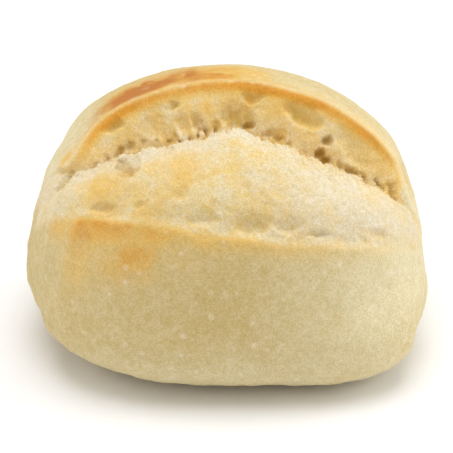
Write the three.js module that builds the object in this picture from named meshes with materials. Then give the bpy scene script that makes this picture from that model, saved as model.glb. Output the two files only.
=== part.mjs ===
// A small crusty bread roll, baked as one piece: a domed loaf with one slash along its top that has
// torn open in the oven. Behind the slash the crust lifts into a lip. Below the lip a wall of torn
// crumb drops into a valley, and in front of the valley a mound of crumb swells up to the front lip.
//
// Millimetres, +Z up. X runs along the slash, and -Y is the front, the side that the slash leans to.
// The origin is the middle of the base, on the surface that the roll rests on.
//
// The shape is written round a centre at the height of the girth. Each direction from the centre has
// a radius, which the slash and a few soft swells raise or lower. Angles round the X axis are in
// degrees: 0 is straight up, 90 the front, 180 the base and -90 the back.

import * as THREE from "three";

// Driving dimensions of the loaf, before the slash opens.
const LENGTH = 88;
const DEPTH = 76;
const HEIGHT = 60;
const GIRTH_HEIGHT = 18.8; // the widest section lies this far above the base
const UNDERSIDE_DROP = 20; // how far the rounded underside would reach below the girth, uncut
const DOME_FULLNESS = 2.35; // exponent of the dome's superellipse: 2 is an ellipse, more is boxier
const UNDERSIDE_FULLNESS = 3.1;
const UNDERSIDE_SKEW = 0.5; // the +X end is fuller underneath than the -X end

// The slash: where its back lip and the crest of its mound run, as pairs of a place along X and an
// angle, and its front lip, a parabola.
const BACK_LIP_LINE = [
  [-38, 34], [-36, 29], [-32, 21.5], [-28, 10], [-24, 6], [-17, 3.2], [-8.5, 0.3], [0, -1.2],
  [7, -0.5], [14, 1.8], [22, 4.8], [28.5, 9.5], [33, 12.5], [35.5, 17], [37, 27], [39, 35],
];
const CREST_LINE = [
  [-38, 35], [-31, 30], [-27.5, 29.8], [-21.5, 27.4], [-16, 26.8], [-9, 24.6], [-2, 22.8],
  [2, 20.8], [5, 23], [9.5, 25], [13.5, 26.3], [16.5, 30.2], [20, 31.5], [28, 31.5], [31, 33.3],
  [38, 35.5],
];
const NARROWEST_SLASH = 1; // in degrees, from the back lip to the crest
const FRONT_LIP_ANGLE = 59.6; // at its lowest
const FRONT_LIP_LOWEST = 26; // where it lies lowest, along X
const FRONT_LIP_CURVE = 0.0036; // degrees per square millimetre of x
const SLASH_END_RIGHT = 38.5; // where it closes, along X
const SLASH_END_LEFT = 36.5;
const LIP_RISE = 1.3; // how far the back lip stands over the loaf's own curve
const LIP_WIDTH = 8; // the lip's rise fades over this distance behind it
const VALLEY_DEPTH = 8.5;
const CREST_DEPTH = 1.6; // the mound's crest lies this far under the loaf's curve
const MOUND_SWELL = 1.3; // how far the mound swells between its crest and the front lip
const GROOVE_DEPTH = 0.9; // the crumb's edge lies this far under the front lip
const FRONT_LIP_RISE = 0.4;
const FRONT_LIP_WIDTH = 4;

// Soft irregularities of a hand-shaped loaf: the direction of each from the centre, its height, and
// how wide it is as an angle seen from the centre.
const SWELLS = [
  { toward: [0.86, 0.22, 0.46], height: 0.5, width: 15 }, // right shoulder, behind the lip
  { toward: [0.9, 0.13, 0.41], height: -0.5, width: 8 },
  { toward: [0.65, 0.3, 0.7], height: -0.6, width: 14 },
  { toward: [0.97, 0.12, 0.2], height: -0.9, width: 14 }, // the right end falls in below it
  { toward: [0.98, -0.18, -0.08], height: 0.5, width: 7 },
  { toward: [0.91, -0.38, -0.19], height: -1.2, width: 7 }, // a dent beside the low bulge
  { toward: [0.9, -0.25, -0.4], height: 0.7, width: 22 }, // the right end's low bulge
  { toward: [0.3, -0.84, -0.45], height: -0.6, width: 12 },
  { toward: [0.05, 0.43, 0.9], height: 0.5, width: 12 }, // the top, behind the lip
  { toward: [-0.2, 0.6, 0.77], height: 0.7, width: 24 }, // a swelling on the back crust
  { toward: [-0.71, 0.28, 0.65], height: 0.7, width: 8 },
  { toward: [-0.93, 0.17, 0.33], height: -1.1, width: 18 }, // the left end falls in above
  { toward: [-0.92, 0.02, 0.4], height: 0.7, width: 10 },
  { toward: [-0.98, -0.1, -0.1], height: 0.9, width: 22 }, // and bulges below
  { toward: [-0.99, -0.09, 0.06], height: 0.5, width: 10 },
  { toward: [-0.95, -0.3, -0.1], height: -0.8, width: 7 },
  { toward: [-0.57, -0.74, -0.35], height: -0.5, width: 12 },
  { toward: [-0.62, -0.36, -0.7], height: -0.6, width: 18 }, // tucked in under the left front
];

// The mesh.
const RINGS = 48; // from one end to the other
const WALL_STEPS = 4; // steps round a ring, across each stretch
const RISE_STEPS = 4;
const MOUND_STEPS = 12;
const CRUST_STEPS = 46; // from the front lip round the base and the back to the back lip
const RELIEF_FADE = 14; // the slash's relief dies out where a ring is narrower than this

const HALF_LENGTH = LENGTH / 2;
const HALF_DEPTH = DEPTH / 2;
const DOME_RISE = HEIGHT - GIRTH_HEIGHT;
const DEGREE = THREE.MathUtils.degToRad(1);

const mix = THREE.MathUtils.lerp;
const smooth = THREE.MathUtils.smoothstep;

// The smooth line through a list of places along X and their angles.
function lineThrough(points) {
  const places = points.map(([x]) => x);
  const angles = points.map(([, angle]) => angle);
  const line = new THREE.CubicInterpolant(places, angles, 1);
  return (x) => line.evaluate(x)[0];
}

const backLipAt = lineThrough(BACK_LIP_LINE);
const crestAt = lineThrough(CREST_LINE);

// The angles at which the back lip, the valley, the mound's crest and the front lip cross a section
// at x, and how open the slash is there: 1 in the middle, 0 past its ends.
function slashAt(x) {
  const end = x > 0 ? SLASH_END_RIGHT : SLASH_END_LEFT;
  const along = Math.min(Math.abs(x) / end, 1);
  const backLip = backLipAt(x);
  const crest = Math.max(crestAt(x), backLip + NARROWEST_SLASH);
  const frontLip = FRONT_LIP_ANGLE - FRONT_LIP_CURVE * (x - FRONT_LIP_LOWEST) ** 2;
  return { backLip, valley: mix(backLip, crest, 0.5), crest, frontLip, open: 1 - along ** 7 };
}

// How far the slash lifts or lowers the surface.
function slashRelief(x, angle, radius) {
  const { backLip, valley, crest, frontLip, open } = slashAt(x);
  if (angle <= backLip) {
    const behind = (backLip - angle) * DEGREE * radius;
    return open * LIP_RISE * Math.exp(-behind / LIP_WIDTH);
  }
  if (angle <= valley) {
    const down = (angle - backLip) / Math.max(valley - backLip, 1);
    return open * mix(LIP_RISE, -VALLEY_DEPTH, down);
  }
  if (angle <= crest) {
    return open * mix(-VALLEY_DEPTH, -CREST_DEPTH, Math.sqrt(smooth(angle, valley, crest)));
  }
  if (angle <= frontLip) {
    const across = (angle - crest) / (frontLip - crest);
    const swell = MOUND_SWELL * Math.sin(Math.PI * across);
    return open * (mix(-CREST_DEPTH, -GROOVE_DEPTH, across) + swell);
  }
  const below = (angle - frontLip) * DEGREE * radius;
  return open * FRONT_LIP_RISE * Math.exp(-below / FRONT_LIP_WIDTH);
}

// The loaf's own radius: a superellipsoid, boxier under the girth.
function loafRadius(direction) {
  const under = 1 - smooth(direction.z, -0.25, 0.15);
  const underFullness = UNDERSIDE_FULLNESS + UNDERSIDE_SKEW * direction.x;
  const fullness = mix(DOME_FULLNESS, underFullness, under);
  const rise = direction.z > 0 ? DOME_RISE : UNDERSIDE_DROP;
  const share =
    Math.abs(direction.x / HALF_LENGTH) ** fullness +
    Math.abs(direction.y / HALF_DEPTH) ** fullness +
    Math.abs(direction.z / rise) ** fullness;
  return share ** (-1 / fullness);
}

function swellAt(direction) {
  let lift = 0;
  for (const { toward, height, width } of SWELLS) {
    const away = direction.angleTo(new THREE.Vector3(...toward)) / (width * DEGREE);
    lift += height * Math.exp(-(away ** 2));
  }
  return lift;
}

// A point of the crust, by its angle from the +X end and its angle round the X axis. Whatever would
// reach below the base is flattened onto it.
function crustPoint(fromEnd, angle) {
  const direction = new THREE.Vector3(
    Math.cos(fromEnd),
    -Math.sin(fromEnd) * Math.sin(angle * DEGREE),
    Math.sin(fromEnd) * Math.cos(angle * DEGREE),
  );
  const radius = loafRadius(direction);
  const ring = radius * Math.sin(fromEnd);
  const wrapped = angle > 180 ? angle - 360 : angle;
  const x = HALF_LENGTH * direction.x;
  const relief = slashRelief(x, wrapped, ring) * smooth(ring, 0, RELIEF_FADE);
  const point = direction.clone().multiplyScalar(radius + relief + swellAt(direction));
  point.z = Math.max(point.z + GIRTH_HEIGHT, 0);
  return point;
}

// The angle of a ring's step, so that steps fall on the lips, the valley and the crest.
function stepAngle(x, step) {
  const { backLip, valley, crest, frontLip } = slashAt(x);
  const stretches = [
    { from: backLip, to: valley, steps: WALL_STEPS },
    { from: valley, to: crest, steps: RISE_STEPS },
    { from: crest, to: frontLip, steps: MOUND_STEPS },
    { from: frontLip, to: backLip + 360, steps: CRUST_STEPS },
  ];
  let left = step;
  for (const { from, to, steps } of stretches) {
    if (left <= steps) {
      return mix(from, to, left / steps);
    }
    left -= steps;
  }
  return backLip + 360;
}

// The loaf's mesh: a sphere with its poles at the two ends, each vertex moved onto the crust.
function breadRoll() {
  const around = WALL_STEPS + RISE_STEPS + MOUND_STEPS + CRUST_STEPS;
  const sphere = new THREE.SphereGeometry(1, around, RINGS);
  const position = sphere.getAttribute("position");
  const columns = around + 1; // a sphere's rows repeat their first vertex at the seam
  for (let i = 0; i < position.count; i++) {
    const fromEnd = Math.acos(-position.getY(i)); // the sphere's poles lie on its Y axis
    const step = around - ((i % columns) % around);
    const point = crustPoint(fromEnd, stepAngle(HALF_LENGTH * Math.cos(fromEnd), step));
    position.setXYZ(i, point.x, point.y, point.z);
  }
  sphere.deleteAttribute("normal");
  sphere.deleteAttribute("uv");
  sphere.computeBoundingBox();
  const middle = sphere.boundingBox.getCenter(new THREE.Vector3());
  return sphere.translate(-middle.x, -middle.y, 0);
}

const crust = new THREE.MeshStandardMaterial({ color: 0xe0c68c, roughness: 0.85, metalness: 0 });

const roll = new THREE.Mesh(breadRoll(), crust);
roll.name = "bread_roll";

const group = new THREE.Group();
group.name = "bread_roll_part";
group.add(roll);

export default group;
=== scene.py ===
"""A slashed bread roll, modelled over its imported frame, and the plain studio that it stands in.

The roll is one baked piece. Its surface is worked out in millimetres round a centre at the height of
the girth, and moved to metres at the end. X runs along the slash and -Y is the front, the side that
the slash leans to. Angles round the X axis are in degrees: 0 is straight up, 90 the front.

Each point of the surface has a distance from the slash's back lip, from the crest of its mound and
from its front lip. Distances are in millimetres and grow towards the front. A pair such as (3, 24)
that goes to step() says where something starts and where it has fully set in.
"""

import itertools
import math
from collections import namedtuple

import bmesh
import bpy
import numpy as np
from bpy.props import FloatProperty, FloatVectorProperty, IntProperty, PointerProperty, StringProperty
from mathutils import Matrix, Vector


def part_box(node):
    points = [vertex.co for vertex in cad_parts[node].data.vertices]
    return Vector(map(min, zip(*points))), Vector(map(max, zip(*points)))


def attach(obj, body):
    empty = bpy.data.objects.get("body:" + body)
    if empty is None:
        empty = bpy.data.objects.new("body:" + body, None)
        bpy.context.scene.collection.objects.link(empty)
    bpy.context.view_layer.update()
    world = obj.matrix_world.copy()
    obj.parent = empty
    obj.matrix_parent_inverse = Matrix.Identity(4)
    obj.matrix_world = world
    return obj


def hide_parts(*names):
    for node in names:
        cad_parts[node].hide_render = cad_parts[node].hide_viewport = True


bl_info = {
    "name": "Slashed Bread Roll",
    "version": (1, 0, 0),
    "blender": (4, 5, 0),
    "location": "View3D > Sidebar > Bread Roll",
    "description": "Bakes a slashed bread roll with a torn crumb, and sets up a plain studio round it",
    "category": "Add Mesh",
}

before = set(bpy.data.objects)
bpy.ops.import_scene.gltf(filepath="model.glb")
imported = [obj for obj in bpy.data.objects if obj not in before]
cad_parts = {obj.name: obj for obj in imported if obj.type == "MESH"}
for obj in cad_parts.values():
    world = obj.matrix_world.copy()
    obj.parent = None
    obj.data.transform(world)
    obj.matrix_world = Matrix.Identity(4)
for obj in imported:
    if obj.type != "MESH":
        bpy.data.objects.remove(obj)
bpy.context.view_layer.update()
CAD_LOW, CAD_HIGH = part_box("bread_roll")
CAD_SIZE = CAD_HIGH - CAD_LOW

MM = 0.001
DEGREE = math.radians(1)
MOST_FACES = 200_000

# Random waves. The size is that of the largest, or one size for each axis.
Ripples = namedtuple("Ripples", "height size seed layers", defaults=(3,))

# Random round hollows, or blisters. Their radii are parts of the spacing. A power under 1 makes them
# flat in the middle, and one over 1 pointed.
Bubbles = namedtuple("Bubbles", "depth spacing seed smallest largest power", defaults=(0.2, 0.6, 1.0))

# A bubble that the tear has opened: an ellipse, turned from the X axis towards the front. The
# hollows and holes are listed in this order.
Torn = namedtuple("Torn", "x angle half_length half_width depth turn")

# A soft spot of colour, by its x and its distance from a lip, or its height.
Spot = namedtuple("Spot", "strength x along distance across patchy", defaults=(0.0,))


# ---- sizes of the loaf

GIRTH_HEIGHT = 18.8  # the widest section lies this far above the base
UNDERSIDE_DROP = 20.0  # how far the rounded underside would reach below the girth, uncut
DOME_FULLNESS = 2.35  # exponent of a superellipsoid: 2 is an ellipsoid, more is boxier
UNDERSIDE_FULLNESS = 3.1
UNDERSIDE_SKEW = 0.5  # the +X end is fuller underneath than the -X end
UNDERSIDE_TO_DOME = (-0.25, 0.15)  # the rise of a unit direction over which one becomes the other
END_SWELL = 1.6  # how much the swells add to the plain loaf's length

# Soft irregularities: the direction from the centre, the height, and the width in degrees.
SWELLS = (
    ((0.86, 0.22, 0.46), 0.5, 15),  # right shoulder, behind the lip
    ((0.90, 0.13, 0.41), -0.5, 8),
    ((0.65, 0.30, 0.70), -0.6, 14),
    ((0.97, 0.12, 0.20), -0.9, 14),  # the right end falls in below it
    ((0.98, -0.18, -0.08), 0.5, 7),
    ((0.91, -0.38, -0.19), -1.2, 7),  # a dent beside the right end's low bulge
    ((0.90, -0.25, -0.40), 0.7, 22),
    ((0.30, -0.84, -0.45), -0.6, 12),
    ((0.05, 0.43, 0.90), 0.5, 12),  # the top, behind the lip
    ((-0.20, 0.60, 0.77), 0.7, 24),  # a swelling on the back crust
    ((-0.71, 0.28, 0.65), 0.7, 8),
    ((-0.93, 0.17, 0.33), -1.1, 18),  # the left end falls in above
    ((-0.92, 0.02, 0.40), 0.7, 10),
    ((-0.98, -0.10, -0.10), 0.9, 22),  # and bulges below
    ((-0.99, -0.09, 0.06), 0.5, 10),
    ((-0.95, -0.30, -0.10), -0.8, 7),
    ((-0.57, -0.74, -0.35), -0.5, 12),
    ((-0.62, -0.36, -0.70), -0.6, 18),  # tucked in under the left front
)

# A soft fold runs down the front crust near the -X end, from the front lip.
FOLD_X = -31.8
FOLD_SLANT = 0.27  # how far it moves towards the -X end on each millimetre down
FOLD_LENGTH = 24
FOLD_WAVES = ((0.30, 3.1), (0.18, 1.3))  # heights, and lengths over 2 pi

# ---- sizes of the slash

SLASH_END_RIGHT = 38.5
SLASH_END_LEFT = 36.5
SLASH_END_FULLNESS = 7  # exponent: the larger, the nearer its ends the slash starts to close
SLASH_NARROW_RING = 14  # its relief fades where the loaf's section is smaller than this
BACK_LIP_LINE = (  # x and angle
    (-38, 12), (-35.5, 18), (-33.7, 22), (-32, 21.5), (-28, 10), (-24, 6), (-17, 3.2), (-8.5, 0.3),
    (0, -1.2), (7, -0.5), (14, 1.8), (22, 4.8), (28.5, 9.5), (33, 12.5), (35.5, 17), (36.6, 27),
    (37.8, 35),
)
CREST_LINE = (
    (-38, 13), (-35.5, 20), (-33.5, 25), (-31.8, 27.3), (-30, 28.6), (-27.5, 29.2), (-21.5, 27.6),
    (-16, 27.6), (-9, 25.8), (-6, 26.2), (-2, 23.2), (2, 21), (5, 23.2), (9.5, 25.9), (13.5, 27.3),
    (16.5, 30.6), (20, 32), (25, 33.3), (28, 33.3), (31, 35), (38, 37),
)
FRONT_LIP_ANGLE = 59.6  # at its lowest
FRONT_LIP_LOWEST = 26.0  # x
FRONT_LIP_CURVE = 0.0036  # degrees per square millimetre of x
LIP_RISE = 1.3
LIP_WIDTH = 8.0  # the back lip's rise fades over this distance behind it
WALL_SLOPE = 1.12
VALLEY_DEPTH = 9.3
CREST_DEPTH = 1.6  # the mound's crest lies this far under the loaf's own curve
CREST_DROP = 1.35  # slope of the mound's torn back side
MOUND_SWELL = 1.3
GROOVE_DEPTH = 0.8
GROOVE_RISE = (-2.4, 1.0)  # the mound meets the crust over these distances from the front lip
FRONT_LIP_RISE = 0.3
FRONT_LIP_WIDTH = 4.0
LIP_ROUNDING = 0.9
VALLEY_ROUNDING = 2.0
CREST_ROUNDING = 0.8
CREST_LEAN = 0.5  # back over the valley
CREST_LEAN_REACH = 1.4
LIP_LEAN = 0.5
LIP_LEAN_REACH = 1.5
LEAST_RING = 5  # keeps angles small at the loaf's ends

BACK_LIP_STRAY = Ripples(0.35, 5, 11)  # degrees, along x
FRONT_LIP_STRAY = Ripples(0.4, 6, 21)
CREST_STRAY = Ripples(0.7, 2.2, 31, layers=4)
CREST_RAGS = Ripples(0.45, 3, 41)
CREST_RAGS_REACH = 3
LEAN_RAGS = Ripples(0.6, 1.3, 51)

CRUMB_BACK_EDGE = (-0.1, 0.5)  # from the back lip
CRUMB_FRONT_EDGE = (-0.9, 0.6)  # from the front lip
CRUMB_END = (40, 42)  # x, to either side
CREST_EDGE_STRETCH = 2  # this near the slash's -X end, the crumb starts at the crest

# ---- bubbles, lumps and fibres

HOLLOW_STRAY_ALONG = Ripples(0.45, 1.8, 61)
HOLLOW_STRAY_ACROSS = Ripples(0.40, 1.8, 71)
HOLLOW_BACK_EDGE = (-1.1, 0.5)  # in half widths: it deepens slowly from the back
HOLLOW_FRONT_EDGE = (0.5, 1.1)  # and stops short at the front
HOLLOW_ENDS = 0.8  # exponent of its fade towards its two ends
HOLLOW_LEAST_MIDDLE = 0.05
HOLLOW_RIDGE = 0.06  # height of the ridge in front of it, as a part of its depth
HOLLOW_RIDGE_PLACE = 1.3
HOLLOW_RIDGE_WIDTH = 0.3
HOLE_FULLNESS = 0.6
WALL_HOLLOWS = (
    (2.7, 6.9, 5, 2.7, 2.1, 12), (5.8, 2.4, 3.2, 1.1, 1.2, 8), (17.6, 7.3, 5.2, 1.7, 2.1, 19),
    (14.2, 12.4, 2.4, 1.3, 0.6, 30), (-12.5, 5.5, 1.8, 0.7, 1.4, -18),
    (-25.2, 10.4, 2.2, 1, 1.3, -25), (-17, 11, 4, 2.2, 0.5, 0),
    (-11.2, 9.6, 2.4, 1.8, 0.8, 0), (-7.7, 8.9, 2.1, 1.9, 1.6, 10), (-3.2, 8.4, 1.4, 1.3, 1.1, 0),
    (29, 15.5, 5, 1.8, 0.7, 30),
)
MOUND_HOLLOWS = (
    (-21.4, 32.4, 3, 2.6, 3.2, 42), (-19, 46.4, 1.2, 1, 0.7, 0),
    (-26.2, 45.4, 2, 1.4, 0.9, 0), (-35.1, 28.6, 3, 2, 2.4, -45),
    (-5.3, 51, 3.6, 1.9, 0.9, 0), (5.4, 52.3, 5.2, 2.9, 1.5, 4), (13.2, 53.1, 3.4, 2.1, 1.3, 0),
    (19.6, 55.3, 2.5, 1.3, 1.1, 0), (31.5, 53.5, 2.3, 1.1, 0.6, 0), (-10.5, 44, 2.8, 1.8, 0.4, 0),
    (12, 43, 3.4, 2.2, 0.4, 10), (-13, 31, 2.2, 1.4, 0.4, 20),
)
HOLES = (
    (24.1, 14.2, 1.15, 0.7, 1.3, 25), (23.7, 17.7, 1.4, 0.9, 1.7, 50),
    (25.1, 19.4, 1.5, 0.8, 2, 35),
)
CREASE_PITS = (  # x, distance from the back lip, half length, half width, depth
    (-30.9, 3.8, 1.7, 0.6, 1.1), (-28.6, 5.1, 0.8, 0.5, 0.8), (-26.4, 5.8, 1.3, 0.6, 1.1),
    (-24, 6.1, 1.3, 0.6, 0.8), (-21.2, 6.7, 0.5, 0.4, 0.6), (-18.4, 7.4, 0.6, 0.4, 0.7),
    (-15.6, 8, 0.9, 0.45, 1.2), (-13.1, 8.4, 0.9, 0.5, 1.3), (-10.6, 8.3, 0.5, 0.5, 0.9),
    (-8.4, 8.2, 1, 0.8, 1.5), (-5.9, 8.1, 0.8, 1, 1.5), (-3.4, 7.9, 0.6, 0.7, 1.1),
    (5.2, 6.9, 1.8, 0.5, 1.2), (10.8, 7.7, 1.5, 0.5, 0.9), (14, 8.1, 1.6, 0.5, 1),
    (16.6, 8.4, 0.9, 0.5, 0.8), (28.2, 6.9, 1.2, 0.4, 0.8), (30.4, 6.6, 1.7, 0.45, 1.2),
    (32.6, 5.8, 1.3, 0.4, 1.1), (34.9, 4.6, 1.2, 0.5, 1.3), (36.2, 3, 0.7, 1, 1.3),
)

WALL_LUMPS = Ripples(0.42, 7, 101, layers=2)
WALL_BUBBLES = Bubbles(0.24, 5.2, 111, power=1.5)
LEFT_WALL_SMOOTHNESS = 7 / 12  # its bubbles are shallower by this factor
LEFT_WALL = (-14, -2)  # x
MOUND_LUMPS = Ripples(0.34, 6, 131)
RIGHT_MOUND_SMOOTHNESS = 11 / 17
RIGHT_MOUND = (0, 20)  # x
MOUND_BUBBLES = Bubbles(0.22, 4.2, 141)
SMALL_BUBBLES = Bubbles(0.16, 1.9, 121)
TINY_BUBBLES = Bubbles(0.07, 0.9, 125)
CRUMB_GRAIN = Ripples(0.07, 0.8, 151, layers=2)
CREST_TEETH = Ripples(0.55, (0.42, 5, 5), 171, layers=2)
CREST_TOOTH_HEIGHT = 0.66  # the tallest
CREST_FIBRES = Ripples(0.24, (0.45, 1.6, 1.6), 161, layers=2)
SMOOTH_LIP = 0.35  # how much of the crumb's relief is left on the back lip

CRUST_SWELLS = Ripples(0.24, 13, 201)
CRUST_DENTS = Ripples(0.07, 3.5, 211)
CRUST_GRAIN = Ripples(0.05, 1.8, 251)
CRUST_PORES = Bubbles(0.05, 1.6, 231)
BLISTERS = Bubbles(0.16, 6.4, 221, smallest=0.05, largest=0.17, power=0.5)
END_DENTS = Ripples(0.30, 5, 241)
END_DENTS_START = (30, 38)  # towards -X
BASE_ROUGHNESS = Ripples(0.16, 2.4, 261)
BASE_ROUGHNESS_END = (3, 10)  # height
FOLD_RIDGE = 0.45
FOLD_GROOVE = 0.35
FOLD_GROOVE_AWAY = 3.2  # the groove lies this far past the ridge, towards -X
FOLD_FADE = (14, 30)  # from the front lip

# ---- places of the bake's colours and of the painted shade

PATCHES = Ripples(1, 4, 301)
SPECKLES = Ripples(1, 1.2, 311)
CLOUDS = Ripples(1, 15, 321, layers=2)

MOST_BAKED = 0.95
BASE_PALER = 0.65
FOLD_PALER = 0.18
LEFT_SHOULDER_PALER = 0.6
TOP_BAKED = 0.65
CLOUDINESS = 0.20
BAKED_SPOTS = (Spot(0.30, 21, 10, 20, 9), Spot(0.25, 26, 12, 36, 5))  # by height

# The thin back lip's rim: its toast, where it is darker as strength, x and width, and its form.
RIM_TOAST = 0.84
RIM_DARKER = ((0.44, 12, 15), (0.40, -25, 7))
RIM_PLACE = 0.6  # from the back lip
RIM_WIDTH = 0.95
RIM_OUTSIDE = 1.15  # it is sharper than that width towards the crust, and softer inside
RIM_INSIDE = 0.62
RIM_PALE_LEFT = 0.5
RIM_PALE_RIGHT = 0.3

FRONT_EDGE_TOAST = 0.50
FRONT_EDGE_RIGHT = 0.38  # how much of it is left at the right
FRONT_EDGE_WIDTH = 3.2
FRONT_TOAST = (Spot(0.36, -24, 7.5, 7, 7, patchy=0.4), Spot(0.20, -12, 8, 4, 6))
LEFT_END_TOAST = 0.52
PATCH_TOAST = 0.60  # the patch under the front lip, near the fold
PATCH_BROWN = 0.30
PATCH_SLANT = 0.30
BACK_BROWN = (
    Spot(1.6, -18.6, 7.8, -5.4, 4.8),
    Spot(0.56, -13, 13, -6, 8, patchy=0.4),
    Spot(0.42, -1.8, 5, -5, 2, patchy=0.4),
)
LIP_BROWN = 0.36
FOLD_BROWN = 0.42
CORNER_BROWN = 0.34
# The spot at x 5.6, angle 2.8 lies in the wall hollow under the back lip: partly toast, partly painted
# shade of that hollow.
TOAST_SPOTS = (  # x, angle, width, strength
    (-5.4, 4.5, 1.8, 0.62), (-25.5, 38.5, 5, 0.48), (-10, 36, 4.6, 0.54),
    (-17, 48.5, 4.5, 0.42), (-25, 48, 4, 0.42), (9.6, 51, 2.2, 0.25),
    (-15.5, 55.3, 3.6, 0.66), (-34, 16, 1.9, 0.80), (-17, 9, 3, 0.35),
    (12, 4, 4.5, 0.48), (5.6, 2.8, 2.6, 0.62), (0.5, 3.4, 3.4, 0.42), (34.5, 17, 3.4, 0.42),
    (14, 12, 3, 0.40),
)

RIGHT_MOUND_WHITE = 0.72
LEFT_END_WHITE = 0.6
FRINGE_WHITE = 0.8
HOLE_RING_WHITE = 0.35
HOLE_RING = 1.7  # the size of the pale ring, in holes
THREADS = Ripples(1.9, (0.55, 3.0, 3.0), 331, layers=2)
THREAD_SHARE = 0.1
DEEPEST_WALL = 1.7  # depths at which the colour has fully changed
DEEPEST_MOUND = 7.0
DEEPEST_HOLE = 1.6
DEEPEST_PIT = 1.5
CREASE_SHADE = 0.34


# ---- curves and noise


def step(value, low, high):
    """0 below low, 1 above high, and smooth between."""
    share = np.clip((value - low) / (high - low), 0, 1)
    return share * share * (3 - 2 * share)


def inside(value, start, full, fade, end):
    """1 from full to fade, and 0 outside start and end."""
    return step(value, start, full) * (1 - step(value, fade, end))


def mix(a, b, share):
    return a + (b - a) * share


def bell(distance, width):
    return np.exp(-np.square(distance / width))


def soft_min(a, b, rounding):
    share = np.clip(0.5 + 0.5 * (b - a) / rounding, 0, 1)
    return mix(b, a, share) - rounding * share * (1 - share)


def soft_max(a, b, rounding):
    return -soft_min(-a, -b, rounding)


def scatter(cell, seed):
    """A number from 0 to 1 for each cell of a lattice, the same on every run."""
    x, y, z = cell.astype(np.uint64).T
    with np.errstate(over="ignore"):
        mixed = x * np.uint64(73856093) ^ y * np.uint64(19349663) ^ z * np.uint64(83492791)
        mixed = (mixed + np.uint64(seed)) * np.uint64(0x9E3779B97F4A7C15)
        mixed = (mixed ^ (mixed >> np.uint64(31))) * np.uint64(0xBF58476D1CE4E5B9)
    return (mixed >> np.uint64(40)).astype(float) / float(1 << 24)


def ripple(points, size, seed):
    """Smooth noise from -1 to 1, with bumps about size across."""
    place = points / size
    low = np.floor(place).astype(np.int64)
    part = place - low
    part = part * part * (3 - 2 * part)
    total = np.zeros(len(points))
    for corner in itertools.product((0, 1), repeat=3):
        weight = np.where(corner, part, 1 - part).prod(axis=1)
        total += weight * scatter(low + np.array(corner), seed)
    return 2 * total - 1


def ripples(points, waves):
    """The height of random waves: each layer is half the size and half the height of the last."""
    total = np.zeros(len(points))
    for layer in range(waves.layers):
        total += ripple(points, np.array(waves.size) / 2**layer, waves.seed + layer) / 2**layer
    return waves.height * total


def bubbles(points, kind):
    """Depth from 0 to 1 of round hollows."""
    place = points / kind.spacing
    low = np.floor(place).astype(np.int64)
    depth = np.zeros(len(points))
    for corner in itertools.product((-1, 0, 1), repeat=3):
        cell = low + np.array(corner)
        centre = np.stack([scatter(cell, kind.seed + axis) for axis in range(3)], axis=1)
        radius = mix(kind.smallest, kind.largest, scatter(cell, kind.seed + 3) ** 2)
        away = np.square(place - cell - centre).sum(axis=1) / radius**2
        depth = np.maximum(depth, 1 - away)
    return depth**kind.power


def follow(x, line):
    """The height at x of a smooth curve through a line's points."""
    places, heights = np.array(line, float).T
    part = np.clip(np.searchsorted(places, x) - 1, 0, len(places) - 2)
    width = np.diff(places)
    slope = np.diff(heights) / width
    tangent = np.concatenate([slope[:1], (slope[:-1] + slope[1:]) / 2, slope[-1:]])
    share = np.clip((x - places[part]) / width[part], 0, 1)
    rise = mix(heights[part], heights[part + 1], share * share * (3 - 2 * share))
    bend = tangent[part] * share * (1 - share) ** 2 - tangent[part + 1] * share**2 * (1 - share)
    return rise + bend * width[part]


# ---- the loaf's form


def slash_lines(x):
    """The angles of the back lip, the mound's crest and the front lip, and how open the slash is."""
    along = np.minimum(np.abs(x) / np.where(x > 0, SLASH_END_RIGHT, SLASH_END_LEFT), 1)
    front_lip = FRONT_LIP_ANGLE - FRONT_LIP_CURVE * (x - FRONT_LIP_LOWEST) ** 2
    return follow(x, BACK_LIP_LINE), follow(x, CREST_LINE), front_lip, 1 - along**SLASH_END_FULLNESS


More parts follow.
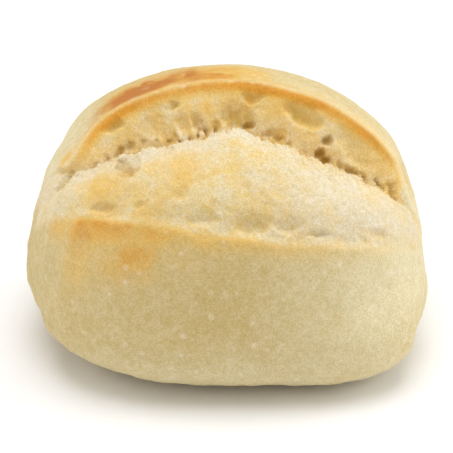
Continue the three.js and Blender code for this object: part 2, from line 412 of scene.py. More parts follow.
class Form:
    """The loaf's points, from unit directions out of its centre, with each point's place on it."""

    def __init__(self, directions, half_length, half_depth, rise):
        under = 1 - step(directions[:, 2], *UNDERSIDE_TO_DOME)
        under_fullness = UNDERSIDE_FULLNESS + UNDERSIDE_SKEW * directions[:, 0]
        fullness = mix(DOME_FULLNESS, under_fullness, under)
        upright = np.where(directions[:, 2] > 0, rise, UNDERSIDE_DROP)
        flat = np.ones(len(upright))
        reach = np.stack([half_length * flat, half_depth * flat, upright], axis=1)
        share = (np.abs(directions / reach) ** fullness[:, None]).sum(axis=1)
        self.radius = share ** (-1 / fullness)
        self.directions = directions
        self.x = half_length * directions[:, 0]
        self.angle = np.degrees(np.arctan2(-directions[:, 1], directions[:, 2]))
        self.ring = self.radius * np.hypot(directions[:, 1], directions[:, 2])
        self.plain = directions * self.radius[:, None]
        self.back_lip, self.crest, self.front_lip, self.open = slash_lines(self.x)
        along = self.plain * (1, 0, 0)
        self.back_lip = self.back_lip + ripples(along, BACK_LIP_STRAY)
        self.front_lip = self.front_lip + ripples(along, FRONT_LIP_STRAY)
        self.crest = self.crest + ripples(along, CREST_STRAY)
        arc = DEGREE * self.ring
        self.from_back_lip = (self.angle - self.back_lip) * arc
        self.from_crest = (self.angle - self.crest) * arc
        self.from_front_lip = (self.angle - self.front_lip) * arc
        self.ends = step(self.ring, 0, SLASH_NARROW_RING)
        self.stray_along = ripples(self.plain, HOLLOW_STRAY_ALONG)
        self.stray_across = ripples(self.plain, HOLLOW_STRAY_ACROSS)

    def relief(self):
        """How far the slash raises or lowers the loaf."""
        behind = np.minimum(self.from_back_lip, 0)
        crust = self.open * LIP_RISE * np.exp(behind / LIP_WIDTH)
        wall = self.open * LIP_RISE - WALL_SLOPE * self.from_back_lip
        across = np.clip((self.angle - self.crest) / (self.front_lip - self.crest), 0, 1)
        mound = mix(-CREST_DEPTH, -GROOVE_DEPTH, across) + MOUND_SWELL * np.sin(np.pi * across)
        ragged = ripples(self.plain, CREST_RAGS) * bell(self.from_crest, CREST_RAGS_REACH)
        mound = self.open * (mound + ragged)
        mound = mound + CREST_DROP * np.minimum(self.from_crest, 0)
        valley = soft_max(wall, -VALLEY_DEPTH * self.open, VALLEY_ROUNDING)
        slash = soft_max(valley, mound, CREST_ROUNDING)
        below = np.maximum(self.from_front_lip, 0)
        front = self.open * FRONT_LIP_RISE * np.exp(-below / FRONT_LIP_WIDTH)
        slash = mix(slash, front, step(self.from_front_lip, *GROOVE_RISE))
        return soft_min(crust, slash, LIP_ROUNDING) * self.ends

    def swell(self):
        lift = np.zeros(len(self.x))
        for toward, height, width in SWELLS:
            unit = np.array(toward) / np.linalg.norm(toward)
            away = np.arccos(np.clip(self.directions @ unit, -1, 1)) / DEGREE
            lift += height * bell(away, width)
        return lift

    def points(self):
        """The loaf with its slash, whose crest and back lip lean over a little."""
        ragged = 1 + ripples(self.plain, LEAN_RAGS)
        lean = LIP_LEAN * bell(self.from_back_lip, LIP_LEAN_REACH)
        lean = lean - CREST_LEAN * bell(self.from_crest, CREST_LEAN_REACH) * ragged
        turn = self.angle * DEGREE + lean * self.open / np.maximum(self.ring, LEAST_RING)
        reach = self.radius + self.relief() + self.swell()
        out = np.hypot(self.directions[:, 1], self.directions[:, 2])
        unit = np.stack([self.directions[:, 0], -out * np.sin(turn), out * np.cos(turn)], axis=1)
        return unit * reach[:, None] + (0, 0, GIRTH_HEIGHT)

    def crumb(self):
        """1 inside the slash, 0 on the crust."""
        left_tip = self.x < CREST_EDGE_STRETCH - SLASH_END_LEFT
        back_edge = step(np.where(left_tip, self.from_crest, self.from_back_lip), *CRUMB_BACK_EDGE)
        front_edge = step(self.from_front_lip, *CRUMB_FRONT_EDGE)
        return back_edge * (1 - front_edge) * (1 - step(np.abs(self.x), *CRUMB_END))

    def placed(self, torn, spread=1.0):
        """Each point's place along and across a torn bubble, in its half sizes."""
        along = self.x - torn.x + self.stray_along
        across = (self.angle - torn.angle) * DEGREE * self.ring + self.stray_across
        cos, sin = math.cos(torn.turn * DEGREE), math.sin(torn.turn * DEGREE)
        u = (along * cos + across * sin) / (torn.half_length * spread)
        v = (across * cos - along * sin) / (torn.half_width * spread)
        return u, v

    def hollows(self, places):
        """Depth of the large torn bubbles."""
        depth = np.zeros(len(self.x))
        ridge = np.zeros(len(self.x))
        for torn in map(Torn._make, places):
            u, v = self.placed(torn)
            middle = np.clip(1 - u * u, 0, 1)
            v = v / np.sqrt(np.maximum(middle, HOLLOW_LEAST_MIDDLE))
            bowl = inside(v, *HOLLOW_BACK_EDGE, *HOLLOW_FRONT_EDGE)
            depth = np.maximum(depth, torn.depth * bowl * middle**HOLLOW_ENDS)
            rise = HOLLOW_RIDGE * torn.depth * bell(v - HOLLOW_RIDGE_PLACE, HOLLOW_RIDGE_WIDTH)
            ridge = np.maximum(ridge, rise * middle)
        return depth - ridge

    def holes(self, spread=1.0):
        """Depth of the round holes."""
        depth = np.zeros(len(self.x))
        for torn in map(Torn._make, HOLES):
            u, v = self.placed(torn, spread)
            depth = np.maximum(depth, torn.depth * np.clip(1 - u * u - v * v, 0, 1) ** HOLE_FULLNESS)
        return depth

    def crease_pits(self):
        """Depth of the small dark pits in the crease behind the mound's crest."""
        depth = np.zeros(len(self.x))
        for x, below, half_length, half_width, deepest in CREASE_PITS:
            u = (self.x - x + self.stray_along) / half_length
            v = (self.from_back_lip - below + self.stray_across) / half_width
            depth = np.maximum(depth, deepest * np.clip(1 - u * u - v * v, 0, 1))
        return depth

    def past_fold(self):
        """Millimetres past the soft fold in the crust near the -X end, towards +X."""
        waves = sum(height * np.sin(self.from_front_lip / length) for height, length in FOLD_WAVES)
        return self.x - FOLD_X + waves + FOLD_SLANT * np.clip(self.from_front_lip, 0, FOLD_LENGTH)


def crumb_relief(form, points, crumb):
    """The torn crumb's lumps, small bubbles and fibres, along the surface's normal."""
    wall = crumb * (1 - step(form.from_crest, -1.5, 0.5))
    mound = crumb * step(form.from_crest, -1, 1.5)
    left = 1 - step(form.x, *LEFT_WALL)
    right = step(form.x, *RIGHT_MOUND)
    lift = wall * ripples(points, WALL_LUMPS)
    lift -= wall * mix(1, LEFT_WALL_SMOOTHNESS, left) * dents(points, WALL_BUBBLES)
    lift += mound * mix(1, RIGHT_MOUND_SMOOTHNESS, right) * ripples(points, MOUND_LUMPS)
    lift -= mound * dents(points, MOUND_BUBBLES)
    lift -= crumb * (dents(points, SMALL_BUBBLES) + dents(points, TINY_BUBBLES))
    lift += crumb * ripples(points, CRUMB_GRAIN)
    teeth = np.clip(ripples(points, CREST_TEETH), 0, CREST_TOOTH_HEIGHT)
    lift += teeth * bell(form.from_crest + 0.2, 0.55) * form.open
    fibres = crumb * ripples(points, CREST_FIBRES)
    lift += fibres * bell(form.from_crest - 0.2, 0.9) * form.open
    return lift * mix(1, SMOOTH_LIP, bell(form.from_back_lip, 1.5))


def crust_relief(form, points, crumb):
    """The crust's swells, dents, pores, blisters and fold, along the surface's normal."""
    fold = form.past_fold()
    below = form.from_front_lip
    lift = ripples(points, CRUST_SWELLS) + ripples(points, CRUST_DENTS)
    lift += ripples(points, CRUST_GRAIN) - dents(points, CRUST_PORES) + dents(points, BLISTERS)
    lift += step(-form.x, *END_DENTS_START) * ripples(points, END_DENTS)
    lift += (1 - step(points[:, 2], *BASE_ROUGHNESS_END)) * ripples(points, BASE_ROUGHNESS)
    lift += FOLD_RIDGE * bell(fold, 1.3) * inside(below, -0.5, 1.5, *FOLD_FADE)
    lift -= FOLD_GROOVE * bell(fold + FOLD_GROOVE_AWAY, 2.4) * inside(below, -1, 4, *FOLD_FADE)
    return (1 - crumb) * lift


def dents(points, kind):
    return kind.depth * bubbles(points, kind)


# ---- where the bake's colours, the painted shade and the painted highlight go


class Baking:
    """Where the crust is baked, toasted or browned; where the crumb is white or yellower in its
    hollows; and where shade is painted in the hollows, holes and crease, and a highlight behind the
    back lip.
    """

    def __init__(self, form, points, crumb):
        self.form = form
        self.crumb = crumb
        self.x = form.x
        self.height = points[:, 2]
        self.behind = form.from_back_lip
        self.below = form.from_front_lip
        self.from_crest = form.from_crest
        self.fold = form.past_fold()
        self.patchy = ripples(points, PATCHES)
        self.speckle = ripples(points, SPECKLES)
        self.cloudy = ripples(points, CLOUDS)
        self.blisters = bubbles(points, BLISTERS)
        self.threads = self.pale_threads(points)
        self.deep = self.hollow_yellow_and_shade_share()

    def attributes(self):
        """The value of each attribute at each point, from 0 to about 1."""
        return {
            "crumb": self.crumb,
            "bake": self.bake(),
            "toast": self.toast(),
            "brown": self.brown(),
            "white": self.white(),
            "deep": self.deep,
            "pit": self.pit(),
            "blister": self.blister(),
        }

    def spot(self, distance, spot):
        along = bell(self.x - spot.x, spot.along)
        across = bell(distance - spot.distance, spot.across)
        return spot.strength * (1 + spot.patchy * self.patchy) * along * across

    def bake(self):
        """How golden the crust is: palest at the +X end and near the base."""
        x, height, behind = self.x, self.height, self.behind
        right = step(x, -1, 32) * step(height, 7, 24)
        base = (1 - step(height, 3, 24)) * step(x, -46, -18)
        past_fold = (1 - step(self.fold, -2.6, 1.4)) * step(height, 2, 14)
        shoulder = (1 - step(x, -31, -24)) * (1 - step(behind, -1, 3)) * step(height, 24, 34)
        top = (1 - step(behind, -9, -1)) * step(height, 30, 42) * step(x, -30, -20)
        bake = MOST_BAKED * (1 - right) - BASE_PALER * base
        bake = bake - FOLD_PALER * past_fold - LEFT_SHOULDER_PALER * shoulder
        bake = bake + sum(self.spot(height, spot) for spot in BAKED_SPOTS)
        bake = mix(bake, TOP_BAKED, top)
        return np.clip(bake + CLOUDINESS * self.cloudy, 0, 1)

    def toast(self):
        """How toasted the thin edges of the slash are: 0.5 is golden, and 1 a deep orange."""
        wall = step(self.behind, 0.5, 3) * (1 - step(self.from_crest, -3, -1))
        wall = wall * (1 - 0.4 * bell(self.x, 6)) * (0.17 + 0.10 * self.patchy)
        toast = [wall, *self.back_lip_toast(), *self.front_lip_toast()]
        for x, angle, width, strength in TOAST_SPOTS:
            away = np.hypot(self.x - x, (self.form.angle - angle) * DEGREE * self.form.ring)
            toast.append(strength * bell(away, width) * (1 + 0.4 * self.patchy))
        return np.maximum.reduce(toast)

    def back_lip_toast(self):
        x, behind, patchy = self.x, self.behind, self.patchy
        ends = (1 - step(x, 30, 34) * step(self.form.angle, 22, 30)) * (1 - step(-x, 34, 37))
        away = behind - RIM_PLACE
        rim = bell(away * np.where(away < 0, RIM_OUTSIDE, RIM_INSIDE), RIM_WIDTH)
        rim = rim * ends * self.form.open**0.3
        rim = rim * (1 - RIM_PALE_LEFT * step(-x, 28, 32)) * (1 - RIM_PALE_RIGHT * step(x, 31, 37))
        darker = sum(strength * bell(x - place, width) for strength, place, width in RIM_DARKER)
        rim = rim * (RIM_TOAST + darker + 0.16 * patchy)
        near = inside(behind, -9, -0.5, 0, 0.8) * ends
        near = near * (1 - 0.15 * step(x, 10, 24)) * (1 - step(x, 36, 39))
        near = near * (0.34 + 0.08 * patchy + 0.06 * self.speckle)
        outer = inside(behind, -16, -8, -1.4, -0.2) * inside(x, -30, -22, 0, 16)
        outer = outer * (0.78 + 0.25 * patchy + 0.12 * self.speckle)
        back = (1 - step(behind, -2, 0)) * inside(x, -32, -22, -4, 12)
        return rim, near, outer, back * (0.20 + 0.08 * patchy)

    def front_lip_toast(self):
        x, below, patchy = self.x, self.below, self.patchy
        edge = step(below, -1.2, 0.4) * bell(np.maximum(below, 0), FRONT_EDGE_WIDTH)
        edge = edge * inside(x, -33, -30, 32, 38) * mix(1, FRONT_EDGE_RIGHT, step(x, 0, 28))
        edge = FRONT_EDGE_TOAST * edge * (1 + 0.2 * patchy)
        corner = step(self.fold, -1.4, 1.6) * (1 - 0.25 * step(x, -22, -10)) * (1 - step(x, -11, 5))
        depth = bell(np.maximum(below - 0.8, 0), 5.0 - 2.0 * step(x, -22, -12))
        corner = corner * step(below, -1.1, 0.9) * depth
        corner = corner * (0.80 + 0.24 * patchy + 0.12 * self.speckle)
        flank = bell(self.fold - 2.8, 3.6) * inside(below, 0, 3, 7, 22) * (0.42 + 0.12 * patchy)
        end = LEFT_END_TOAST * bell(x + 35, 3.2) * inside(below, -1.5, 1, 1, 8)
        patch = self.patch() * (PATCH_TOAST + 0.12 * patchy + 0.10 * self.speckle)
        return edge, corner, flank, end, patch, *(self.spot(below, spot) for spot in FRONT_TOAST)

    def patch(self):
        """1 in the middle of the toasted patch under the front lip, near the fold."""
        ragged = 1.8 * self.patchy
        along = (self.x + 20.9 + PATCH_SLANT * (self.below - 8)) / (4.8 + ragged)
        return bell(np.hypot(along, (self.below - 7.2) / (5.8 + ragged)), 1)

    def brown(self):
        """How browned the crust is: most of all behind the back lip, left of the middle."""
        x, behind, below = self.x, self.behind, self.below
        brown = np.maximum.reduce([self.spot(behind, spot) for spot in BACK_BROWN])
        brown = brown * (1 - step(behind, -2.2, -0.4))
        lip = bell(behind - 0.1, 0.8) * self.form.open * (1 - step(x, 30, 36))
        fold = bell(self.fold - 2.6, 2.2) * inside(below, 0, 2, 3, 10)
        corner = bell(x + 24, 11) * step(below, -0.8, 0.8) * bell(below - 1, 3.6)
        patch = PATCH_BROWN * self.patch()
        parts = [brown, LIP_BROWN * lip, patch, FOLD_BROWN * fold, CORNER_BROWN * corner]
        brown = np.maximum.reduce(parts)
        return np.clip(brown * (1 + 0.4 * self.speckle + 0.2 * self.patchy), 0, 1)

    def white(self):
        """How white the crumb is: most of all on the mound's fresh crest and at its right."""
        x, from_crest = self.x, self.from_crest
        fringe = (FRINGE_WHITE - 0.3 * step(x, 2, 14)) * bell(from_crest - 1.2, 2.4)
        fringe = fringe * step(from_crest, -1.2, 0.2)
        right = RIGHT_MOUND_WHITE * step(x, 0, 26) * step(from_crest, 0, 2)
        left = LEFT_END_WHITE * (1 - step(x, -37, -27))
        white = np.maximum.reduce([fringe, right, left]) * self.crumb
        white = white * (1 - 0.5 * bell(self.below, 3))
        white = np.maximum(white, HOLE_RING_WHITE * self.form.holes(HOLE_RING) * self.crumb)
        white = white * (1 - 0.85 * np.clip(2 * self.deep, 0, 1))
        white = white * (0.85 + 0.3 * self.speckle + 0.25 * self.patchy)
        return np.clip(np.maximum(white, self.threads), 0, 1)

    def pale_threads(self, points):
        """Pale torn threads across the crease, low on the wall."""
        thread = np.clip(THREAD_SHARE + ripples(points, THREADS), 0, 1)
        low = step(self.behind, 5.2, 7.0) * (1 - step(self.from_crest, -3, -1))
        return thread * low * (1 - 0.6 * step(self.x, 14, 22))

    # How far the crumb in the large hollows turns to its own deeper yellow and to painted olive shade.
    def hollow_yellow_and_shade_share(self):
        wall = self.form.hollows(WALL_HOLLOWS) / DEEPEST_WALL
        mound = self.form.hollows(MOUND_HOLLOWS) / DEEPEST_MOUND
        return np.clip(wall + mound, 0, 1)

    def pit(self):
        """Painted shade in the holes, the crease pits and the crease: how dark each is painted."""
        crease = step(self.behind, 5.6, 8.0) * (1 - step(self.from_crest, -3, -1))
        crease = crease * (1 - step(self.x, 24, 30)) * (1 - self.threads)
        shade = crease * (CREASE_SHADE + 0.35 * self.speckle)
        pit = np.maximum(self.form.holes() / DEEPEST_HOLE, self.form.crease_pits() / DEEPEST_PIT)
        return np.clip(np.maximum(pit, shade), 0, 1)

    def blister(self):
        """Where the crust is painted pale: on its blisters' thin skin, and a painted highlight on the
        crust just behind the back lip's edge.
        """
        edge_highlight = bell(self.behind + 1.3, 0.8) * np.clip(0.3 + 0.8 * self.speckle, 0, 0.8)
        return np.maximum(self.blisters, edge_highlight) * (1 - self.crumb)


# ---- the loaf's mesh

SLASH_MARGIN = 3  # degrees of finer mesh past the slash's lips
CREST_MARGINS = (2.2, 3.2)  # of the finest mesh, behind and in front of the crest
REFINED_LENGTH = 0.95  # the share of the loaf's half length that the finer mesh covers


def loaf_mesh(shape):
    """The finished loaf as a mesh, with its attributes."""
    bm = bmesh.new()
    bmesh.ops.create_icosphere(bm, subdivisions=shape.fineness, radius=1)
    half_length = CAD_SIZE.x / 2 / MM
    refine(bm, half_length, slash_band)
    refine(bm, half_length, crest_band)
    bmesh.ops.triangulate(bm, faces=bm.faces[:])
    mesh = bpy.data.meshes.new(shape.piece_name)
    bm.to_mesh(mesh)
    bm.free()
    directions = read_vectors(mesh.vertices, "co")
    directions /= np.linalg.norm(directions, axis=1)[:, None]
    half_length = shape.length / MM / 2
    form = Form(directions, half_length, shape.depth / MM / 2, shape.height / MM - GIRTH_HEIGHT)
    points = form.points()
    crumb = form.crumb()
    write_points(mesh, points)
    depth = form.hollows(WALL_HOLLOWS) + form.hollows(MOUND_HOLLOWS)
    depth = depth + form.holes() + form.crease_pits()
    points = points - depth[:, None] * read_vectors(mesh.vertex_normals, "vector")
    write_points(mesh, points)
    lift = crumb_relief(form, points, crumb) + crust_relief(form, points, crumb)
    points = points + lift[:, None] * read_vectors(mesh.vertex_normals, "vector")
    points[:, 2] = np.maximum(points[:, 2], 0)
    middle = (points.max(axis=0) + points.min(axis=0)) / 2
    points[:, :2] -= middle[:2]
    write_points(mesh, points * MM)
    baking = Baking(form, points, crumb)
    for name, values in baking.attributes().items():
        layer = mesh.attributes.new(name, "FLOAT", "POINT")
        layer.data.foreach_set("value", values.astype(np.float32))
    for polygon in mesh.polygons:
        polygon.use_smooth = True
    return mesh


def slash_band(back_lip, crest, front_lip):
    return min(back_lip, crest) - SLASH_MARGIN, front_lip + SLASH_MARGIN


def crest_band(back_lip, crest, front_lip):
    return crest - CREST_MARGINS[0], crest + CREST_MARGINS[1]


def refine(bm, half_length, band):
    """Halves the sphere's edges where their angle lies in a band, which band() gives from the lines."""
    verts = bm.verts[:]
    places = np.array([vert.co[:] for vert in verts])
    angles = np.degrees(np.arctan2(-places[:, 1], places[:, 2]))
    lines = slash_lines(half_length * places[:, 0])
    near = set()
    for vert, angle, back_lip, crest, front_lip in zip(verts, angles, *lines[:3]):
        low, high = band(back_lip, crest, front_lip)
        if low < angle < high and abs(vert.co.x) < REFINED_LENGTH:
            near.add(vert)
    edges = [edge for edge in bm.edges if edge.verts[0] in near and edge.verts[1] in near]
    bmesh.ops.subdivide_edges(bm, edges=edges, cuts=1, use_grid_fill=True)


def read_vectors(items, name):
    flat = np.empty(len(items) * 3, np.float32)
    items.foreach_get(name, flat)
    return flat.reshape(-1, 3).astype(float)


def write_points(mesh, points):
    mesh.vertices.foreach_set("co", points.astype(np.float32).ravel())
    mesh.update()


# ---- the finish

# How large the features of the bread's finish are, in metres.
TONES = 0.0045
SOFT_MOTTLE = 0.0024
FINE_MOTTLE = 0.0010
GRAIN = 0.00032
FILM_CELLS = 0.0021
FILM_WARP = 0.0016
FILM_WARP_REACH = 0.0022
BLISTER_CELLS = 0.0030
BUMP_HEIGHT = 0.0003

# What the mottling multiplies the bread's colour by, where it is darkest and lightest.
DARK_MOTTLE = (0.94, 0.90, 0.79, 1)
LIGHT_MOTTLE = (1.05, 1.07, 1.17, 1)
DARK_GRAIN = (0.87, 0.83, 0.68, 1)
LIGHT_GRAIN = (1.09, 1.12, 1.27, 1)
MOTTLE_SHARE = 0.78
MOTTLE_LESS_ON_CRUMB = 0.04
# How far the blisters and the painted highlight behind the back lip turn toward their cream.
BLISTER_AND_HIGHLIGHT_SHARE = 0.32

# The sockets of a mix node that blends colours: its factor, A, B and result.
COLOUR_MIX_INPUTS = (0, 6, 7)
COLOUR_MIX_OUTPUT = 2


class Finish:
    """A material's node tree, built one node at a time."""

    def __init__(self, name):
        self.material = bpy.data.materials.new(name)
        self.material.use_nodes = True
        self.tree = self.material.node_tree
        self.shader = self.tree.nodes["Principled BSDF"]

    def node(self, kind, **settings):
        node = self.tree.nodes.new(kind)
        for name, value in settings.items():
            setattr(node, name, value)
        return node

    def feed(self, socket, value):
        if isinstance(value, bpy.types.NodeSocket):
            self.tree.links.new(value, socket)
        else:
            socket.default_value = value

    def attribute(self, name):
        return self.node("ShaderNodeAttribute", attribute_name=name).outputs["Fac"]

    def place(self):
        return self.node("ShaderNodeTexCoord").outputs["Object"]

    def noise(self, size, detail=3.0, roughness=0.55):
        """Noise with bumps about size metres across."""
        node = self.node("ShaderNodeTexNoise")
        self.feed(node.inputs["Vector"], self.place())
        node.inputs["Scale"].default_value = 1 / size
        node.inputs["Detail"].default_value = detail
        node.inputs["Roughness"].default_value = roughness
        return node.outputs["Fac"]

    def spread(self, value, low, high, to_low=0.0, to_high=1.0):
        node = self.node("ShaderNodeMapRange", interpolation_type="SMOOTHSTEP")
        self.feed(node.inputs["Value"], value)
        limits = {"From Min": low, "From Max": high, "To Min": to_low, "To Max": to_high}
        for name, number in limits.items():
            node.inputs[name].default_value = number
        return node.outputs["Result"]

    def maths(self, operation, a, b=0.0):
        node = self.node("ShaderNodeMath", operation=operation)
        self.feed(node.inputs[0], a)
        self.feed(node.inputs[1], b)
        return node.outputs[0]

    def blend(self, share, a, b, kind="MIX"):
        node = self.node("ShaderNodeMix", data_type="RGBA", blend_type=kind)
        for socket, value in zip(COLOUR_MIX_INPUTS, (share, a, b)):
            self.feed(node.inputs[socket], value)
        return node.outputs[COLOUR_MIX_OUTPUT]


def bread_finish(colours):
    """Matte crust and torn crumb, toasted along the lips."""
    finish = Finish("baked_bread")
    soft = finish.noise(SOFT_MOTTLE, 3, 0.6)
    fine = finish.noise(FINE_MOTTLE, 3, 0.7)
    grain = finish.noise(GRAIN, 2, 0.7)

    bake = finish.maths("ADD", finish.attribute("bake"), finish.spread(soft, 0.3, 0.7, -0.15, 0.15))
    crust = finish.blend(bake, rgba(colours.crust_pale), rgba(colours.crust_gold))
    tone = finish.spread(finish.noise(TONES, 4, 0.6), 0.36, 0.64)
    crumb = finish.blend(tone, rgba(colours.crumb_yellow), rgba(colours.crumb_cream))
    # The hollows' crumb: partly its own deeper yellow, partly painted olive shade.
    crumb = finish.blend(finish.attribute("deep"), crumb, rgba(colours.hollow_crumb_and_shade))
    crumb = finish.blend(finish.attribute("white"), crumb, rgba(colours.crumb_white))
    shallow = finish.maths("SUBTRACT", 1.0, finish.attribute("deep"))
    walls = finish.maths("MULTIPLY", cell_walls(finish), finish.spread(soft, 0.4, 0.6, 0.05, 0.32))
    walls = finish.maths("MULTIPLY", walls, shallow)
    crumb = finish.blend(walls, crumb, rgba(colours.crumb_film))
    base = finish.blend(finish.attribute("crumb"), crust, crumb)

    rough_edge = finish.spread(fine, 0.3, 0.7, -0.06, 0.06)
    toast = finish.maths("ADD", finish.attribute("toast"), rough_edge)
    base = finish.blend(finish.spread(toast, -0.05, 0.65), base, rgba(colours.toast_gold))
    base = finish.blend(finish.spread(toast, 0.45, 1.15), base, rgba(colours.toast_orange))
    brown = finish.maths("ADD", finish.attribute("brown"), rough_edge)
    base = finish.blend(finish.spread(brown, -0.05, 1.1), base, rgba(colours.toast_brown))
    # Painted shade: the holes, the crease pits and the crease darken toward a deep brown.
    base = finish.blend(finish.attribute("pit"), base, rgba(colours.pit_shade_brown))

    # Pale blisters, and a painted highlight along the crust just behind the back lip.
    blister = finish.maths("MAXIMUM", finish.attribute("blister"), small_blisters(finish))
    shell = finish.maths("SUBTRACT", 1.0, finish.attribute("crumb"))
    blister = finish.maths("MULTIPLY", finish.maths("MULTIPLY", blister, shell), BLISTER_AND_HIGHLIGHT_SHARE)
    base = finish.blend(blister, base, rgba(colours.blister_and_highlight_cream))
    less = finish.maths("MULTIPLY", finish.attribute("crumb"), -MOTTLE_LESS_ON_CRUMB)
    coarse = finish.maths("ADD", less, MOTTLE_SHARE)
    mottle = finish.blend(finish.spread(fine, 0.3, 0.7), DARK_MOTTLE, LIGHT_MOTTLE)
    base = finish.blend(coarse, base, mottle, "MULTIPLY")
    speck = finish.blend(finish.spread(grain, 0.32, 0.68), DARK_GRAIN, LIGHT_GRAIN)
    base = finish.blend(coarse, base, speck, "MULTIPLY")

    height = finish.maths("ADD", fine, finish.maths("MULTIPLY", grain, 0.5))
    height = finish.maths("ADD", height, blister)
    bump = finish.node("ShaderNodeBump")
    bump.inputs["Strength"].default_value = 0.5
    bump.inputs["Distance"].default_value = BUMP_HEIGHT
    finish.feed(bump.inputs["Height"], height)

    shader = finish.shader
    finish.feed(shader.inputs["Base Color"], base)
    finish.feed(shader.inputs["Normal"], bump.outputs["Normal"])
    finish.feed(shader.inputs["Roughness"], finish.spread(toast, 0, 1, 0.82, 0.55))
    shader.inputs["Specular IOR Level"].default_value = 0.3
    shader.inputs["Subsurface Weight"].default_value = 0.1
    shader.inputs["Subsurface Radius"].default_value = (1.0, 0.6, 0.3)
    shader.inputs["Subsurface Scale"].default_value = 0.002
    return finish.material


def cell_walls(finish):
    """1 on the thin films between the crumb's small bubbles."""
    warp = finish.node("ShaderNodeTexNoise")
    finish.feed(warp.inputs["Vector"], finish.place())
    warp.inputs["Scale"].default_value = 1 / FILM_WARP
    shift = finish.node("ShaderNodeVectorMath", operation="MULTIPLY_ADD")
    finish.feed(shift.inputs[0], warp.outputs["Color"])
    shift.inputs[1].default_value = (FILM_WARP_REACH, FILM_WARP_REACH, FILM_WARP_REACH)
    finish.feed(shift.inputs[2], finish.place())
    cells = finish.node("ShaderNodeTexVoronoi", feature="DISTANCE_TO_EDGE")
    finish.feed(cells.inputs["Vector"], shift.outputs["Vector"])
    cells.inputs["Scale"].default_value = 1 / FILM_CELLS
    return finish.spread(cells.outputs["Distance"], 0.0, 0.14, 1.0, 0.0)


def small_blisters(finish):
    """1 on the crust's smallest blisters."""
    cells = finish.node("ShaderNodeTexVoronoi")
    finish.feed(cells.inputs["Vector"], finish.place())
    cells.inputs["Scale"].default_value = 1 / BLISTER_CELLS
    chance = finish.node("ShaderNodeSeparateColor")
    finish.feed(chance.inputs["Color"], cells.outputs["Color"])
    radius = finish.spread(chance.outputs["Red"], 0.4, 1.0, 0.0, 0.28)
    return finish.spread(finish.maths("SUBTRACT", radius, cells.outputs["Distance"]), -0.06, 0.12)


def rgba(colour):
    return (*colour, 1.0)


def plain_finish(name, colour, roughness):
    finish = Finish(name)
    finish.shader.inputs["Base Color"].default_value = rgba(colour)
    finish.shader.inputs["Roughness"].default_value = roughness
    finish.shader.inputs["Specular IOR Level"].default_value = 0.0
    return finish.material


# ---- settings


def colour_property(name, description, default):
    return FloatVectorProperty(
        name=name, description=description, default=default, subtype="COLOR", size=3, min=0, max=1
    )


def float_property(name, description, default, unit="LENGTH"):
    return FloatProperty(name=name, description=description, default=default, unit=unit)


class BreadRollShape(bpy.types.PropertyGroup):
    """The loaf's sizes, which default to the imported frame's."""

    piece_name: StringProperty(
        name="Piece name", description="Name of the finished piece", default="baked_roll"
    )
    length: float_property(
        "Length", "Length along the slash, without the swells at its ends", CAD_SIZE.x - END_SWELL * MM
    )
    depth: float_property("Depth", "Size from front to back", CAD_SIZE.y)
    height: float_property(
        "Height", "Height without the back lip's rise", CAD_SIZE.z - LIP_RISE * MM
    )
    fineness: IntProperty(
        name="Fineness", description="Times that the starting sphere is cut in four", default=7
    )


class BreadRollColours(bpy.types.PropertyGroup):
    """The bread's colours."""

    crust_pale: colour_property("Pale crust", "Least baked crust", (0.76, 0.675, 0.43))
    crust_gold: colour_property("Golden crust", "Well baked crust", (0.61, 0.47, 0.205))
    # Cream of the blisters, and of the painted highlight behind the back lip.
    blister_and_highlight_cream: colour_property("Blisters", "Thin raised skin of the blisters", (0.86, 0.77, 0.56))
    toast_gold: colour_property("Golden edge", "Lightly toasted edges", (0.765, 0.50, 0.135))
    toast_orange: colour_property("Toasted rim", "Thin edges, toasted orange", (0.73, 0.345, 0.03))
    toast_brown: colour_property("Browned crust", "The darkest patch of crust", (0.52, 0.19, 0.035))
    crumb_cream: colour_property("Cream crumb", "Pale torn crumb", (0.75, 0.625, 0.36))
    crumb_yellow: colour_property("Yellow crumb", "Deeper torn crumb", (0.765, 0.56, 0.21))
    # Crumb in the large hollows: its own deeper yellow and painted olive shade.
    hollow_crumb_and_shade: colour_property("Deep crumb", "Crumb in the large hollows", (0.77, 0.58, 0.19))
    crumb_white: colour_property("White crumb", "Freshly torn fringe", (0.74, 0.665, 0.50))
    crumb_film: colour_property("Crumb film", "Thin walls between small bubbles", (0.84, 0.79, 0.66))
    # Colour of the painted shade in the holes, the crease pits and the crease.
    pit_shade_brown: colour_property("Pits", "The inside of the deep holes", (0.45, 0.26, 0.045))


class BreadRollStage(bpy.types.PropertyGroup):
    """The studio round the roll."""

    floor_colour: colour_property("Floor", "Colour of the floor", (0.93, 0.93, 0.93))
    floor_size: float_property("Floor size", "Side of the square floor", 6.0)
    sky_strength: FloatProperty(
        name="Fill light", description="Brightness of the white surround", default=0.3
    )
    overhead_power: float_property("Overhead light", "Power of the soft light above", 6.55, "POWER")
    front_power: float_property("Front light", "Power of the soft light at the front", 1.6, "POWER")
    left_power: float_property("Left light", "Power of the soft light at the left", 2.7, "POWER")
    right_power: float_property("Right light", "Power of the soft light at the right", 4.4, "POWER")
    camera_elevation: FloatProperty(
        name="Camera elevation",
        description="Angle of the camera above the floor",
        default=math.radians(27),
        subtype="ANGLE",
    )
    camera_distance: float_property("Camera distance", "From the roll's middle", 0.52)
    field_width: float_property("Field width", "Width of the picture at the roll's middle", 0.1014)


# ---- operators

FLOOR_SEGMENTS = 8
FLOOR_DROP = 0.1 * MM  # the floor lies this far under the base, so that the two don't coincide
LAMP_SIZE = 0.9
LAMP_PLACES = {
    "overhead": (0, 0, 0.95),
    "front": (0, -0.65, 0.68),
    "left": (-0.85, 0.10, 0.30),
    "right": (0.85, 0.10, 0.30),
}
CAMERA_TARGET = (0, 0, 0.0261)
SENSOR_WIDTH = 36  # millimetres


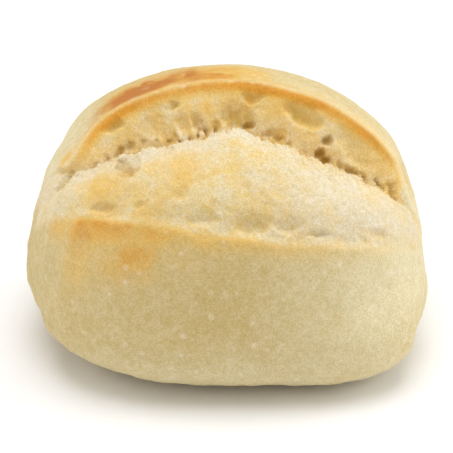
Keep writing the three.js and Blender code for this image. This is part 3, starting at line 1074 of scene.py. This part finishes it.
class BREAD_OT_bake_loaf(bpy.types.Operator):
    """Model the loaf with its slash, crumb and crust, and give it its finish"""

    bl_idname = "bread.bake_loaf"
    bl_label = "Bake Loaf"

    def execute(self, context):
        shape = context.scene.bread_shape
        mesh = loaf_mesh(shape)
        if len(mesh.polygons) >= MOST_FACES:
            raise RuntimeError(f"the loaf has {len(mesh.polygons)} faces, too many for one piece")
        mesh.materials.append(bread_finish(context.scene.bread_colours))
        loaf = bpy.data.objects.new(shape.piece_name, mesh)
        context.collection.objects.link(loaf)
        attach(loaf, "root")
        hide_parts("bread_roll")
        return {"FINISHED"}


class BREAD_OT_set_stage(bpy.types.Operator):
    """Lay the floor, hang the lights and place the camera"""

    bl_idname = "bread.set_stage"
    bl_label = "Set Stage"

    def execute(self, context):
        stage = context.scene.bread_stage
        lay_floor(context, stage)
        hang_lights(context, stage)
        place_camera(context, stage)
        context.scene.view_settings.view_transform = "Standard"
        return {"FINISHED"}


def lay_floor(context, stage):
    bm = bmesh.new()
    bmesh.ops.create_grid(
        bm, x_segments=FLOOR_SEGMENTS, y_segments=FLOOR_SEGMENTS, size=stage.floor_size / 2
    )
    bmesh.ops.translate(bm, verts=bm.verts[:], vec=(0, 0, -FLOOR_DROP))
    mesh = bpy.data.meshes.new("floor")
    bm.to_mesh(mesh)
    bm.free()
    mesh.materials.append(plain_finish("floor_white", stage.floor_colour, 0.9))
    floor = bpy.data.objects.new("floor", mesh)
    context.collection.objects.link(floor)


def hang_lights(context, stage):
    world = bpy.data.worlds.new("surround")
    context.scene.world = world
    world.use_nodes = True
    background = world.node_tree.nodes["Background"]
    background.inputs["Color"].default_value = (1, 1, 1, 1)
    background.inputs["Strength"].default_value = stage.sky_strength
    for side, place in LAMP_PLACES.items():
        add_light(context, f"{side}_light", Vector(place), getattr(stage, f"{side}_power"))


def add_light(context, name, place, power):
    lamp = bpy.data.lights.new(name, "AREA")
    lamp.shape = "DISK"
    lamp.size = LAMP_SIZE
    lamp.energy = power
    light = bpy.data.objects.new(name, lamp)
    light.location = place
    light.rotation_euler = (-place).to_track_quat("-Z", "Y").to_euler()
    context.collection.objects.link(light)


def place_camera(context, stage):
    back = Vector((0, -math.cos(stage.camera_elevation), math.sin(stage.camera_elevation)))
    lens = bpy.data.cameras.new("camera")
    lens.sensor_width = SENSOR_WIDTH
    lens.lens = lens.sensor_width * stage.camera_distance / stage.field_width
    camera = bpy.data.objects.new("camera", lens)
    camera.location = Vector(CAMERA_TARGET) + back * stage.camera_distance
    camera.rotation_euler = (-back).to_track_quat("-Z", "Y").to_euler()
    context.collection.objects.link(camera)
    context.scene.camera = camera


class BREAD_PT_panel(bpy.types.Panel):
    """Lists the roll's settings and steps"""

    bl_idname = "BREAD_PT_panel"
    bl_label = "Bread Roll"
    bl_space_type = "VIEW_3D"
    bl_region_type = "UI"
    bl_category = "Bread Roll"

    def draw(self, context):
        layout = self.layout
        for settings in ("bread_shape", "bread_colours", "bread_stage"):
            box = layout.box()
            group = getattr(context.scene, settings)
            for name in group.bl_rna.properties.keys():
                if name not in ("rna_type", "name"):
                    box.prop(group, name)
        layout.operator(BREAD_OT_bake_loaf.bl_idname)
        layout.operator(BREAD_OT_set_stage.bl_idname)


CLASSES = (
    BreadRollShape,
    BreadRollColours,
    BreadRollStage,
    BREAD_OT_bake_loaf,
    BREAD_OT_set_stage,
    BREAD_PT_panel,
)


def register():
    for cls in CLASSES:
        bpy.utils.register_class(cls)
    bpy.types.Scene.bread_shape = PointerProperty(type=BreadRollShape)
    bpy.types.Scene.bread_colours = PointerProperty(type=BreadRollColours)
    bpy.types.Scene.bread_stage = PointerProperty(type=BreadRollStage)


def unregister():
    del bpy.types.Scene.bread_stage
    del bpy.types.Scene.bread_colours
    del bpy.types.Scene.bread_shape
    for cls in reversed(CLASSES):
        bpy.utils.unregister_class(cls)


def main():
    register()
    bpy.ops.bread.set_stage()
    bpy.ops.bread.bake_loaf()


if __name__ == "__main__":
    main()
